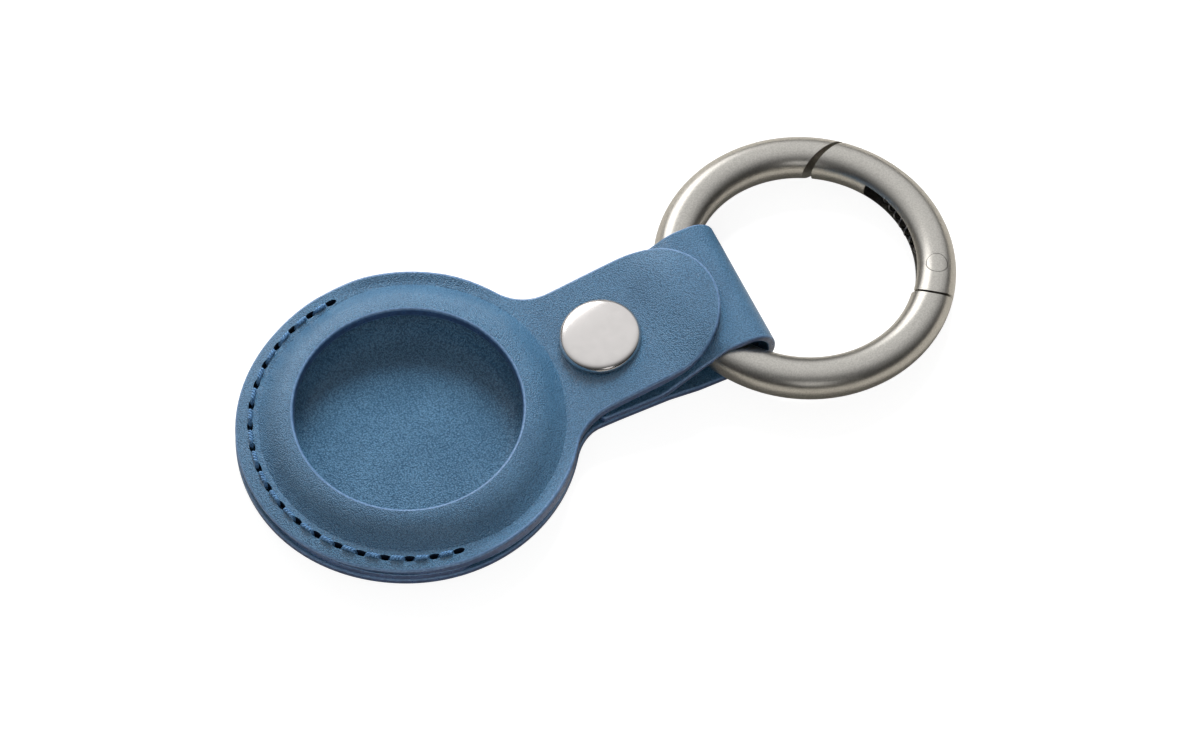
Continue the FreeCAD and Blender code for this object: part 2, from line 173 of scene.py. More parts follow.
table_drop = 0.0001
bpy.ops.object.select_all(action="DESELECT")
bpy.ops.mesh.primitive_plane_add(size=6.0, location=(0.0, 0.0, cad_box[0][2] - table_drop))
table = bpy.context.object
table.name = "table"
settle()
table_paint, nodes, links, shader = new_material("table_paint")
shader.inputs["Base Color"].default_value = (0.9, 0.895, 0.88, 1.0)
shader.inputs["Roughness"].default_value = 0.9
rays = nodes.new("ShaderNodeLightPath")
glow = nodes.new("ShaderNodeEmission")
glow.inputs["Strength"].default_value = 1.3
share = multiplied(nodes, 0.68)
# In glossy reflections the table shows as a darker diffuse: painted shade in the reflections, which darkens
# the metal's undersides and outlines.
dim = nodes.new("ShaderNodeBsdfDiffuse")
dim.inputs["Color"].default_value = (0.5, 0.48, 0.44, 1.0)
mirrored = nodes.new("ShaderNodeMixShader")
table_mix = nodes.new("ShaderNodeMixShader")
links.new(rays.outputs["Is Camera Ray"], share.inputs[0])
links.new(share.outputs[0], table_mix.inputs[0])
links.new(rays.outputs["Is Glossy Ray"], mirrored.inputs[0])
links.new(shader.outputs[0], mirrored.inputs[1])
links.new(dim.outputs[0], mirrored.inputs[2])
links.new(mirrored.outputs[0], table_mix.inputs[1])
links.new(glow.outputs[0], table_mix.inputs[2])
links.new(table_mix.outputs[0], nodes["Material Output"].inputs["Surface"])
table.data.materials.append(table_paint)

# Front leather: one moulded blank with a round window in a raised bead, a flat seam flange and the snap flap.
# Grained calf leather about 1.4 mm thick, its cut edges painted, bent up at the neck to lie over the strap.
mm = 0.001
edge_strip = 0.32
case_radius = 21.0 - edge_strip
neck_half_width = 9.0 - edge_strip
neck_fillet = 7.0 + edge_strip
neck_cut = 24.0
end_stretch = 0.35
front_leather = 1.4
flange_top = 4.6
flap_tip = 41.1 - edge_strip
column_half = 16
fillet_half = 10
round_half = 78


def smooth(low, high, value):
    t = min(1.0, max(0.0, (value - low) / (high - low)))
    return t * t * (3 - 2 * t)


def from_neck(angle):
    """How far a spoke is turned from the neck, 0 to 180 degrees to either side."""
    return abs((angle + 180) % 360 - 180)


def half_spokes():
    """Angles of the spokes of one half of a blank: close over the neck, even round the case."""
    side = math.degrees(math.atan2(neck_half_width, neck_cut))
    fillet_x = math.sqrt((case_radius + neck_fillet) ** 2 - (neck_half_width + neck_fillet) ** 2)
    touch = math.degrees(math.atan2(neck_half_width + neck_fillet, fillet_x))
    columns = [neck_half_width * math.sin(math.pi / 2 * i / column_half) for i in range(column_half)]
    angles = [math.degrees(math.atan2(y, neck_cut)) for y in columns]
    angles += [side + (touch - side) * i / fillet_half for i in range(fillet_half)]
    angles += [touch + (180 - touch) * i / round_half for i in range(round_half + 1)]
    return angles


right_half = half_spokes()
spoke_angles = right_half + [360 - a for a in right_half[-2:0:-1]]


def outline_reach(angle):
    """How far the blank reaches from the middle of the case along a spoke, as far as the neck's cut."""
    turn = from_neck(angle)
    c, s = math.cos(math.radians(turn)), math.sin(math.radians(turn))
    fillet_y = neck_half_width + neck_fillet
    fillet_x = math.sqrt((case_radius + neck_fillet) ** 2 - fillet_y ** 2)
    if turn >= math.degrees(math.atan2(fillet_y, fillet_x)):
        return case_radius + end_stretch * smooth(115, 170, turn)
    if c * neck_half_width >= s * neck_cut:
        return neck_cut / c
    if c * neck_half_width >= s * fillet_x:
        return neck_half_width / s
    along = fillet_x * c + fillet_y * s
    return along - math.sqrt(along ** 2 - fillet_x ** 2 - fillet_y ** 2 + neck_fillet ** 2)


def pick(piece):
    bpy.ops.object.select_all(action="DESELECT")
    piece.select_set(True)
    bpy.context.view_layer.objects.active = piece


def start_mesh_edit(piece):
    pick(piece)
    bpy.ops.object.mode_set(mode="EDIT")


def select_edges(piece, wanted):
    """Opens a piece for editing with only the wanted edges selected."""
    start_mesh_edit(piece)
    bpy.ops.mesh.select_mode(type="EDGE")
    bpy.ops.mesh.select_all(action="DESELECT")
    mesh = bmesh.from_edit_mesh(piece.data)
    for edge in mesh.edges:
        edge.select_set(wanted(edge))
    bmesh.update_edit_mesh(piece.data)


def ringed_blank(name, rings, place):
    """A circle drawn out ring by ring; each vertex then goes where place(ring, angle) puts it."""
    bpy.ops.object.select_all(action="DESELECT")
    count = len(spoke_angles)
    bpy.ops.mesh.primitive_circle_add(vertices=count, radius=1.0, fill_type="NOTHING")
    piece = bpy.context.object
    piece.name = name
    bpy.ops.object.mode_set(mode="EDIT")
    bpy.ops.mesh.select_all(action="SELECT")
    for ring in range(1, rings):
        bpy.ops.mesh.extrude_edges_move()
        bpy.ops.transform.resize(value=((ring + 1) / ring,) * 3)
    bpy.ops.object.mode_set(mode="OBJECT")
    for vertex in piece.data.vertices:
        x, y = vertex.co.xy
        ring = round(math.hypot(x, y)) - 1
        spoke = round(math.atan2(y, x) / (2 * math.pi / count)) % count
        vertex.co = Vector(place(ring, spoke_angles[spoke])) * mm
    return piece


def draw_out(piece, rows, place):
    """Draws the neck's edge out row by row; each vertex then goes where place(row, across) puts it."""
    row_step = 0.01
    select_edges(piece, lambda edge: edge.is_boundary
                 and min(v.co.x / mm for v in edge.verts) > neck_cut - 0.01)
    for row in range(rows):
        bpy.ops.mesh.extrude_edges_move(TRANSFORM_OT_translate={"value": (row_step, 0.0, 0.0)})
    bpy.ops.object.mode_set(mode="OBJECT")
    for vertex in piece.data.vertices:
        row = round((vertex.co.x - neck_cut * mm) / row_step)
        if row > 0:
            vertex.co = Vector(place(row, vertex.co.y / mm)) * mm


def apply_modifier(piece, kind, **values):
    pick(piece)
    modifier = piece.modifiers.new(kind.lower(), kind)
    for key, value in values.items():
        setattr(modifier, key, value)
    bpy.ops.object.modifier_apply(modifier=modifier.name)


def face_out(piece):
    start_mesh_edit(piece)
    bpy.ops.mesh.select_all(action="SELECT")
    bpy.ops.mesh.remove_doubles(threshold=1e-6)
    bpy.ops.mesh.normals_make_consistent(inside=False)
    bpy.ops.object.mode_set(mode="OBJECT")


def widen_edges(piece):
    """Widens a sheet by a narrow strip square to its edges, which the rounding of the cut edge then uses."""
    face_out(piece)
    start_mesh_edit(piece)
    bpy.ops.mesh.select_mode(type="EDGE")
    bpy.ops.mesh.select_all(action="DESELECT")
    bpy.ops.mesh.select_non_manifold()
    bpy.ops.mesh.extrude_edges_move()
    mesh = bmesh.from_edit_mesh(piece.data)
    moves = []
    for vertex in mesh.verts:
        if vertex.select:
            ends = [edge.other_vert(vertex) for edge in vertex.link_edges if edge.select]
            inner = [edge.other_vert(vertex) for edge in vertex.link_edges if not edge.select][0]
            strip = set(vertex.link_faces)
            inward = sum((edge.other_vert(inner).co - inner.co for edge in inner.link_edges
                          if not strip & set(edge.link_faces)), Vector())
            if inward.length == 0:
                inward = sum((face.calc_center_median() - inner.co for face in inner.link_faces
                              if face not in strip), Vector())
            outward = (ends[0].co - ends[1].co).cross(inner.normal).normalized()
            if outward.dot(inward) > 0:
                outward = -outward
            moves.append((vertex, outward * edge_strip * mm))
    for vertex, move in moves:
        vertex.co += move
    bmesh.update_edit_mesh(piece.data)
    bpy.ops.object.mode_set(mode="OBJECT")


def dress(piece, face_leather):
    """Gives a sheet its leather, the paint of its cut edges and the painted highlight along their rounded
    corners.
    """
    for skin in (face_leather, edge_paint, painted_edge_highlight):
        piece.data.materials.append(skin)


def leather_thickness(piece, thickness, face_up, rounding):
    """Gives a sheet its thickness behind its drawn face and rounds the painted cut edges."""
    face_out(piece)
    innermost = min(piece.data.polygons, key=lambda face: face.center.xy.length)
    if (innermost.normal.z > 0) != face_up:
        start_mesh_edit(piece)
        bpy.ops.mesh.select_all(action="SELECT")
        bpy.ops.mesh.flip_normals()
        bpy.ops.object.mode_set(mode="OBJECT")
    apply_modifier(piece, "SOLIDIFY", thickness=thickness * mm, offset=-1.0, material_offset_rim=1,
                   use_quality_normals=True)
    select_edges(piece, lambda edge: len({face.material_index for face in edge.link_faces}) == 2)
    # The rounding takes the third material, a lighter colour painted on as the edge's highlight.
    bpy.ops.mesh.bevel(offset=rounding * mm, segments=3, affect="EDGES", clamp_overlap=True, material=2)
    bpy.ops.object.mode_set(mode="OBJECT")
    bpy.ops.object.shade_smooth()


bead_rim = 14.05 + edge_strip
bead_foot, pressed_foot = 19.3, 18.35
bead_curve = [(0.0, 7.32, -0.6), (0.25, 7.02, -1.8), (0.5, 6.38, -3.2), (0.72, 5.52, -4.1),
              (0.88, 4.94, -3.4), (1.0, 4.57, -2.8)]
bead_steps = 34
flange_rings = 14
mouth_gap = 0.4
roll_start, roll_run, roll_drop = 19.2, 2.15, 0.5


def foot_reach(angle):
    """The bead's foot is pressed back where the seam holds the leather down."""
    turn = from_neck(angle)
    return bead_foot + (pressed_foot - bead_foot) * smooth(72, 112, turn)


def bead_ring(ring, angle):
    share = ring / (bead_steps - 1)
    return bead_rim + (foot_reach(angle) - bead_rim) * share, along_line(bead_curve, share)


def mouth_lift(angle):
    """The unsewn half of the front stands a little off the back, where the tag slips in."""
    turn = from_neck(angle)
    return mouth_gap * smooth(30, 55, turn) * (1 - smooth(80, 97, turn))


def along_line(points, x):
    """Height on a smooth line through a few points, each with its own slope."""
    if x <= points[0][0]:
        return points[0][1]
    for (x0, z0, m0), (x1, z1, m1) in zip(points, points[1:]):
        if x <= x1:
            run = x1 - x0
            t = (x - x0) / run
            return (z0 * (1 + 2 * t) * (1 - t) ** 2 + z1 * t * t * (3 - 2 * t)
                    + run * (m0 * t * (1 - t) ** 2 - m1 * t * t * (1 - t)))
    return points[-1][1]


flap_middle = [(19.3, 4.6, 0.04), (22.0, 5.0, 0.19), (25.8, 5.62, 0.155), (30.9, 6.5, 0.26),
               (34.4, 8.0, 0.46), (37.2, 8.97, 0.18), (41.2, 9.36, 0.06)]
flap_edge = [(19.3, 4.6, 0.04), (22.6, 5.08, 0.19), (26.9, 5.85, 0.18), (33.2, 6.95, 0.2),
             (38.0, 8.1, 0.24), (41.2, 8.8, 0.2)]
flap_rows = 34


def flap_height(x, y):
    """Top face of the flap: it climbs evenly from the flange, under the cap and over the ring's tube."""
    side = min(1.0, abs(y) / neck_half_width) ** 2.2
    return along_line(flap_middle, x) * (1 - side) + along_line(flap_edge, x) * side


def front_place(ring, angle):
    c, s = math.cos(math.radians(angle)), math.sin(math.radians(angle))
    if ring < bead_steps:
        reach, height = bead_ring(ring, angle)
        return (reach * c, reach * s, height)
    t = (ring - bead_steps + 1) / flange_rings
    start = foot_reach(angle)
    reach = start + (outline_reach(angle) - start) * t
    x, y = reach * c, reach * s
    turn = from_neck(angle)
    rolled = roll_drop * smooth(96, 120, turn) * max(0.0, (reach - roll_start) / roll_run) ** 1.5
    return (x, y, flap_height(x, y) - rolled + mouth_lift(angle) * smooth(19.5, 21, reach))


def flap_place(row, across):
    t = row / flap_rows
    start = flap_tip - neck_half_width
    end = start + math.sqrt(max(0.0, neck_half_width ** 2 - across ** 2))
    x = neck_cut + (end - neck_cut) * t
    return (x, across, flap_height(x, across))


def noise(nodes, links, place, scale, detail):
    node = nodes.new("ShaderNodeTexNoise")
    node.inputs["Scale"].default_value = scale
    node.inputs["Detail"].default_value = detail
    links.new(place.outputs["Object"], node.inputs["Vector"])
    return node


def two_tone(nodes, low, low_colour, high, high_colour):
    ramp = nodes.new("ShaderNodeValToRGB")
    first, last = ramp.color_ramp.elements
    first.position, first.color = low, low_colour
    last.position, last.color = high, high_colour
    return ramp


def relief_bump(nodes, strength, distance):
    bump = nodes.new("ShaderNodeBump")
    bump.inputs["Strength"].default_value = strength
    bump.inputs["Distance"].default_value = distance
    return bump


def grain_group(name, *outputs):
    """An empty group that takes a grain size, with its own coordinates and the outputs named."""
    group = bpy.data.node_groups.new(name, "ShaderNodeTree")
    group.interface.new_socket("Grain Size", in_out="INPUT", socket_type="NodeSocketFloat")
    for output in outputs:
        group.interface.new_socket(output, in_out="OUTPUT", socket_type="NodeSocketFloat")
    nodes = group.nodes
    ends = nodes.new("NodeGroupInput"), nodes.new("NodeGroupOutput")
    return group, nodes, group.links, nodes.new("ShaderNodeTexCoord"), *ends


def leather_group():
    """Fine pebble grain: rounded cells of two sizes with soft creases, as height and as light and dark."""
    group, nodes, links, place, inputs, outputs = grain_group("leather_grain", "Height", "Tone")
    wobble = noise(nodes, links, place, 2500.0, 2.0)
    shift = nodes.new("ShaderNodeVectorMath")
    shift.operation = "MULTIPLY_ADD"
    shift.inputs[1].default_value = (0.00012,) * 3
    cells = nodes.new("ShaderNodeTexVoronoi")
    cells.feature = "SMOOTH_F1"
    cells.inputs["Smoothness"].default_value = 0.35
    fine = noise(nodes, links, place, 7200.0, 3.0)
    join = nodes.new("ShaderNodeMix")
    join.inputs["Factor"].default_value = 0.35
    cloud = noise(nodes, links, place, 160.0, 4.0)
    tone = nodes.new("ShaderNodeMix")
    tone.inputs["Factor"].default_value = 0.8
    links.new(wobble.outputs["Color"], shift.inputs[0])
    links.new(place.outputs["Object"], shift.inputs[2])
    links.new(shift.outputs[0], cells.inputs["Vector"])
    links.new(inputs.outputs["Grain Size"], cells.inputs["Scale"])
    links.new(cells.outputs["Distance"], join.inputs["A"])
    links.new(fine.outputs[0], join.inputs["B"])
    links.new(join.outputs["Result"], outputs.inputs["Height"])
    links.new(cloud.outputs[0], tone.inputs["A"])
    links.new(join.outputs["Result"], tone.inputs["B"])
    links.new(tone.outputs["Result"], outputs.inputs["Tone"])
    return group


leather_grain = leather_group()


def leather(name, light, dark, grain_size, relief, roughness, shine):
    material, nodes, links, shader = new_material(name)
    grain = nodes.new("ShaderNodeGroup")
    grain.node_tree = leather_grain
    grain.inputs["Grain Size"].default_value = grain_size
    shade = two_tone(nodes, 0.32, light, 0.6, dark)
    gloss = ranged(nodes, 0.25, 0.7, roughness - 0.06, roughness + 0.12)
    bump = relief_bump(nodes, relief, 0.00018)
    bump.invert = True
    links.new(grain.outputs["Tone"], shade.inputs[0])
    links.new(shade.outputs[0], shader.inputs["Base Color"])
    links.new(grain.outputs["Tone"], gloss.inputs["Value"])
    links.new(gloss.outputs[0], shader.inputs["Roughness"])
    links.new(grain.outputs["Height"], bump.inputs["Height"])
    links.new(bump.outputs[0], shader.inputs["Normal"])
    shader.inputs["Specular IOR Level"].default_value = shine
    shader.inputs["Coat Weight"].default_value = shine * 0.4
    shader.inputs["Coat Roughness"].default_value = 0.36
    return material


blue_leather = leather("blue_leather", linear(66, 111, 143), linear(28, 71, 101), 6000.0, 1.0, 0.36, 1.0)
edge_paint = leather("edge_paint", linear(54, 78, 116), linear(36, 57, 92), 1500.0, 0.15, 0.3, 0.8)
# A lighter colour for the rounded corners of the cut edges: a painted highlight line along every edge.
painted_edge_highlight = leather("painted_edge_highlight", linear(90, 121, 157), linear(68, 99, 133), 2500.0, 0.2, 0.34, 0.8)
front = ringed_blank("front_leather", bead_steps + flange_rings, front_place)
draw_out(front, flap_rows, flap_place)
dress(front, blue_leather)
widen_edges(front)
leather_thickness(front, front_leather, True, 0.28)
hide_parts("front_panel", "front_flap")

# Back leather: a dished disc under the tag, whose neck runs on as the strap, round the ring and back under
# the flap. One blank of calf leather 1.0 mm thick, folded at the loop and riveted through by the snap's post.
back_leather = 1.0
back_profile = [(0.9, 0.0), (4.0, 0.0), (8.0, 0.0), (11.0, 0.0), (13.0, 0.0), (14.0, 0.02), (14.6, 0.08),
                (15.2, 0.22), (15.8, 0.42), (16.4, 0.66), (17.0, 0.88), (17.6, 1.06), (18.2, 1.16),
                (18.9, 1.2)]
back_low = 1.2
strap_rows = 118
strap_low = 0.6
strap_end_top = 2.65
strap_end_start = 21.9 + edge_strip
strap_fall_end = 30.0
loop_split = 31.0
loop_reach = 45.4
loop_top = 7.54
ring_place = 53.8
ring_radius = 16.3
tube_radius = 2.6
ring_near_height = 3.82
loop_hug = 3.72


def back_height(x):
    return back_low + (strap_low - back_low) * smooth(19.8, 22.6, x)


def back_place(ring, angle):
    c, s = math.cos(math.radians(angle)), math.sin(math.radians(angle))
    if ring < len(back_profile):
        reach, height = back_profile[ring]
        return (reach * c, reach * s, height)
    t = (ring - len(back_profile) + 1) / flange_rings
    start = back_profile[-1][0]
    reach = start + (outline_reach(angle) - start) * t
    return (reach * c, reach * s, back_height(reach * c))


def rounded_route(points, radii, count):
    """Points at even steps along a line whose corners are rounded."""
    line = [Vector(points[0])]
    for before, corner, after, radius in zip(points, points[1:], points[2:], radii):
        corner = Vector(corner)
        to_before = (Vector(before) - corner).normalized()
        to_after = (Vector(after) - corner).normalized()
        half = to_before.angle(to_after) / 2
        back_off = radius / math.tan(half)
        first, last = corner + to_before * back_off, corner + to_after * back_off
        middle = corner + (to_before + to_after).normalized() * (radius / math.sin(half))
        sweep = math.pi - 2 * half
        a, b = first - middle, last - middle
        for i in range(13):
            t = i / 12
            line.append(middle + (a * math.sin((1 - t) * sweep) + b * math.sin(t * sweep)) / math.sin(sweep))
    line.append(Vector(points[-1]))
    lengths = [0.0]
    for p, q in zip(line, line[1:]):
        lengths.append(lengths[-1] + (q - p).length)
    even, index = [], 0
    for step in range(count + 1):
        target = lengths[-1] * step / count
        while index < len(line) - 2 and lengths[index + 1] < target:
            index += 1
        t = (target - lengths[index]) / max(1e-9, lengths[index + 1] - lengths[index])
        even.append(line[index].lerp(line[index + 1], min(1.0, t)))
    return even


def strap_route(across):
    """The strap's outer face at one distance from its middle: the ring's tube curves away at the edges."""
    tube_x = ring_place - math.sqrt(ring_radius ** 2 - across ** 2)
    along, down = tube_x - strap_fall_end, ring_near_height - strap_end_top
    slope = math.atan2(down, along) + math.asin(loop_hug / math.hypot(along, down))
    shoulder = tube_x - loop_hug * math.tan(slope / 2)
    points = [(neck_cut, strap_low), (loop_split, strap_low), (loop_split + 4.0, 0.0), (loop_reach, 0.0),
              (loop_reach, loop_top), (shoulder, loop_top), (strap_fall_end, strap_end_top),
              (strap_end_start, strap_end_top)]
    return rounded_route(points, [4.0, 4.0, 3.6, 3.6, loop_hug, 3.0], strap_rows)


strap_routes = {}


def strap_place(row, across):
    key = round(across, 4)
    if key not in strap_routes:
        strap_routes[key] = strap_route(across)
    point = strap_routes[key][row]
    return (point.x, across, point.y)


def close_middle(piece):
    """Fills the small round left at the middle of a disc."""
    select_edges(piece, lambda edge: edge.is_boundary
                 and max(v.co.xy.length for v in edge.verts) < 1.0 * mm)
    bpy.ops.mesh.edge_face_add()
    bpy.ops.object.mode_set(mode="OBJECT")


back = ringed_blank("back_leather", len(back_profile) + flange_rings, back_place)
draw_out(back, strap_rows, strap_place)
close_middle(back)
dress(back, blue_leather)
widen_edges(back)
leather_thickness(back, back_leather, False, 0.2)
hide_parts("back_panel", "strap_end", "strap_loop")

# Pocket lining: a second dished disc glued to the back leather, grain side up under the tag.
# The same calf leather 1.0 mm thick, moulded into a shallow bowl and sewn in with the seam.
lining_leather = 1.0
mouth_radius, sewn_radius, lining_cut = 20.0, 20.9, 19.7
lining_profile = [(0.9, 2.0), (4.0, 2.0), (7.0, 2.0), (9.5, 2.0), (11.2, 2.02), (12.2, 2.08), (12.7, 2.2),
                  (13.1, 2.42), (13.5, 2.8), (13.9, 3.26), (14.3, 3.72), (14.7, 4.14), (15.2, 4.44),
                  (15.7, 4.5), (16.2, 4.3), (16.7, 3.85), (17.2, 3.45), (17.8, 3.25), (18.4, 3.2),
                  (19.6, 3.2), (sewn_radius, 3.2)]


def lining_place(ring, angle):
    reach, height = lining_profile[ring]
    turn = from_neck(angle)
    reach = min(reach, mouth_radius + (sewn_radius - mouth_radius) * smooth(86, 98, turn))
    c, s = math.cos(math.radians(angle)), math.sin(math.radians(angle))
    return (min(reach * c, lining_cut), reach * s, height)


lining = ringed_blank("pocket_lining_leather", len(lining_profile), lining_place)
close_middle(lining)
coarse_leather = leather("coarse_leather", linear(78, 117, 146), linear(34, 71, 98), 4600.0, 1.0, 0.36, 0.45)
dress(lining, coarse_leather)
leather_thickness(lining, lining_leather, True, 0.1)
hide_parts("pocket_lining")
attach(lining, "case")

# Seam: twenty needle slots on an arc round the closed half of the case, sewn with one doubled blue thread.
# Bonded polyester in two twisted plies, lying in short stitches on the front and on the back.
# The slots are cut in both outer leathers, and the lining between them closes them to the light.
stitch_count = 19
stitch_radius = 19.35
seam_start, seam_end = 96.0, 264.0
seam_step = (seam_end - seam_start) / stitch_count
slot_width, slot_length = 0.74, 1.6
awl_length, awl_middle = 8.0, 3.0
half_stitch = 1.02
ply_radius = 0.16
ply_lay = 0.14
stitch_rise = 0.2
stitch_dip = 1.0


def turned_copies(piece, angles):
    """Copies of a piece turned about the middle of the case, joined in one mesh."""
    copies = []
    for angle in angles:
        twin = piece.copy()
        twin.data = piece.data.copy()
        scene.collection.objects.link(twin)
        twin.rotation_euler = (0.0, 0.0, math.radians(angle))
        copies.append(twin)
    bpy.data.objects.remove(piece)
    bpy.ops.object.select_all(action="DESELECT")
    for twin in copies:
        twin.select_set(True)
    bpy.context.view_layer.objects.active = copies[0]
    settle()
    bpy.ops.object.join()
    return copies[0]


bpy.ops.object.select_all(action="DESELECT")
bpy.ops.mesh.primitive_cylinder_add(vertices=20, radius=slot_width / 2 * mm, depth=awl_length * mm,
                                    location=(stitch_radius * mm, 0.0, awl_middle * mm))
awl = bpy.context.object
awl.scale = (1.0, slot_length / slot_width, 1.0)
settle()
# The slot walls take this dark colour: painted shade for the inside of the needle slots.
painted_slot_shade = leather("painted_slot_shade", linear(24, 38, 58), linear(14, 24, 40), 1500.0, 0.2, 0.6, 0.3)
awl.data.materials.append(painted_slot_shade)
awl = turned_copies(awl, [seam_start + seam_step * i for i in range(stitch_count + 1)])
for piece in (front, back):
    apply_modifier(piece, "BOOLEAN", object=awl, operation="DIFFERENCE", solver="EXACT",
                   material_mode="TRANSFER")
    bpy.ops.object.shade_smooth_by_angle(angle=math.radians(38))
bpy.data.objects.remove(awl)
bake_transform(front)
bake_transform(back)


def ply_line(start):
    """One ply of a stitch: up out of its slot, along the leather with half-turns, and down the next slot."""
    curve = bpy.data.curves.new("ply", "CURVE")
    curve.dimensions = "3D"
    curve.bevel_depth = ply_radius * mm
    curve.bevel_resolution = 2
    curve.resolution_u = 2
    line = curve.splines.new("NURBS")
    count = 25
    line.points.add(count - 1)
    for i in range(count):
        u = 2 * i / (count - 1) - 1
        turn = 2 * math.pi * 1.25 * u + start
        rise = stitch_rise - stitch_dip * smooth(0.6, 1.0, abs(u))
        place = (stitch_radius + ply_lay * math.cos(turn), half_stitch * u, rise + ply_lay * math.sin(turn))
        line.points[i].co = (place[0] * mm, place[1] * mm, place[2] * mm, 1.0)
    line.order_u = 3
    line.use_endpoint_u = True
    ply = bpy.data.objects.new("ply", curve)
    scene.collection.objects.link(ply)
    return ply


def stitch_row(name, lift, facing):
    plies = [ply_line(0.0), ply_line(math.pi)]
    bpy.ops.object.select_all(action="DESELECT")
    for ply in plies:
        ply.select_set(True)
    bpy.context.view_layer.objects.active = plies[0]
    bpy.ops.object.convert(target="MESH")
    bpy.ops.object.join()
    stitch = bpy.context.object
    stitch.scale = (1.0, 1.0, facing)
    stitch.location = (0.0, 0.0, lift * mm)
    settle()
    row = turned_copies(stitch, [seam_start + seam_step * (i + 0.5) for i in range(stitch_count)])
    row.name = name
    face_out(row)
    bpy.ops.object.shade_smooth()
    return row


def thread_finish(name, light, dark):
    material, nodes, links, shader = new_material(name)
    place = nodes.new("ShaderNodeTexCoord")
    fibre = noise(nodes, links, place, 6500.0, 3.0)
    shade = two_tone(nodes, 0.35, dark, 0.65, light)
    bump = relief_bump(nodes, 0.5, 0.00005)
    links.new(fibre.outputs[0], shade.inputs[0])
    links.new(shade.outputs[0], shader.inputs["Base Color"])
    links.new(fibre.outputs[0], bump.inputs["Height"])
    links.new(bump.outputs[0], shader.inputs["Normal"])
    shader.inputs["Roughness"].default_value = 0.4
    return material


blue_thread = thread_finish("blue_thread", linear(104, 146, 186), linear(44, 78, 114))
for name, node, lift, facing in (("top_stitches", "seam_top_thread", flange_top, 1.0),
                                 ("back_stitches", "seam_bobbin_thread", back_low, -1.0)):
    row = stitch_row(name, lift, facing)
    row.data.materials.append(blue_thread)
    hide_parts(node)
    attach(row, "case")

# Snap: a domed cap on the flap, its socket and wire spring under it, the stud and post on the strap's end.
# Nickelled brass. The cap is pressed from sheet with a rounded shoulder and polished, the rest is left plain.
snap_place = 25.8
snap_base = 5.68
cap_tilt = math.radians(6)
cap_profile = [(4.5, 0.0), (4.92, 0.03), (5.06, 0.14), (5.1, 0.32), (5.09, 0.52), (5.03, 0.72), (4.92, 0.89),
               (4.77, 1.03), (4.58, 1.14), (4.35, 1.22), (4.05, 1.28), (3.6, 1.345), (3.0, 1.415),
               (2.2, 1.48), (1.4, 1.52), (0.7, 1.54)]


def turned_piece(name, profile, place):
    """A piece as turned on a lathe: a circle drawn up ring by ring along its profile, closed at both ends."""
    first_reach, first_height = profile[0]
    foot = Vector(place) + Vector((0.0, 0.0, first_height))
    bpy.ops.object.select_all(action="DESELECT")
    bpy.ops.mesh.primitive_circle_add(vertices=96, radius=first_reach * mm, fill_type="NGON",
                                      location=foot * mm)
    piece = bpy.context.object
    piece.name = name
    bpy.ops.object.mode_set(mode="EDIT")
    bpy.ops.mesh.select_all(action="SELECT")
    for (reach, height), (next_reach, next_height) in zip(profile, profile[1:]):
        rise = (next_height - height) * mm
        bpy.ops.mesh.extrude_edges_move(TRANSFORM_OT_translate={"value": (0.0, 0.0, rise)})
        bpy.ops.transform.resize(value=(next_reach / reach, next_reach / reach, 1.0))
    bpy.ops.mesh.edge_face_add()
    bpy.ops.object.mode_set(mode="OBJECT")
    settle()
    face_out(piece)
    bpy.ops.object.shade_smooth_by_angle(angle=math.radians(40))
    return piece


def metal_group():
    """Fine even grain of a blasted or polished metal face, and slow clouds of handling over it."""
    group, nodes, links, place, inputs, outputs = grain_group("metal_grain", "Grain", "Cloud")
    grain = noise(nodes, links, place, 1000.0, 3.0)
    cloud = noise(nodes, links, place, 210.0, 4.0)
    links.new(inputs.outputs["Grain Size"], grain.inputs["Scale"])
    links.new(grain.outputs[0], outputs.inputs["Grain"])
    links.new(cloud.outputs[0], outputs.inputs["Cloud"])
    return group


metal_grain = metal_group()


def metal(name, light, dark, grain_size, relief, smoothest, roughest):
    material, nodes, links, shader = new_material(name)
    grain = nodes.new("ShaderNodeGroup")
    grain.node_tree = metal_grain
    grain.inputs["Grain Size"].default_value = grain_size
    shade = two_tone(nodes, 0.36, dark, 0.64, light)
    gloss = ranged(nodes, 0.3, 0.7, smoothest, roughest)
    bump = relief_bump(nodes, relief, 0.00004)
    links.new(grain.outputs["Grain"], shade.inputs[0])
    links.new(shade.outputs[0], shader.inputs["Base Color"])
    links.new(grain.outputs["Cloud"], gloss.inputs["Value"])
    links.new(gloss.outputs[0], shader.inputs["Roughness"])
    links.new(grain.outputs["Grain"], bump.inputs["Height"])
    links.new(bump.outputs[0], shader.inputs["Normal"])
    shader.inputs["Metallic"].default_value = 1.0
    return material


def finish_node(name, material):
    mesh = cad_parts[name].data
    mesh.materials.clear()
    mesh.materials.append(material)


polished_nickel = metal("polished_nickel", linear(217, 212, 209), linear(214, 209, 206), 900.0, 0.0,
                        0.16, 0.18)
cap = turned_piece("snap_cap_dome", cap_profile, (snap_place, 0.0, snap_base))
bpy.ops.transform.rotate(value=cap_tilt, orient_axis="Y",
                         center_override=(snap_place * mm, 0.0, snap_base * mm))
settle()
cap.data.materials.append(polished_nickel)
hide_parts("snap_cap")
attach(cap, "flap")
snap_metal = metal("snap_metal", linear(190, 186, 180), linear(160, 156, 150), 1600.0, 0.12, 0.24, 0.36)
for name in ("snap_socket", "snap_stud", "snap_post"):
    finish_node(name, snap_metal)

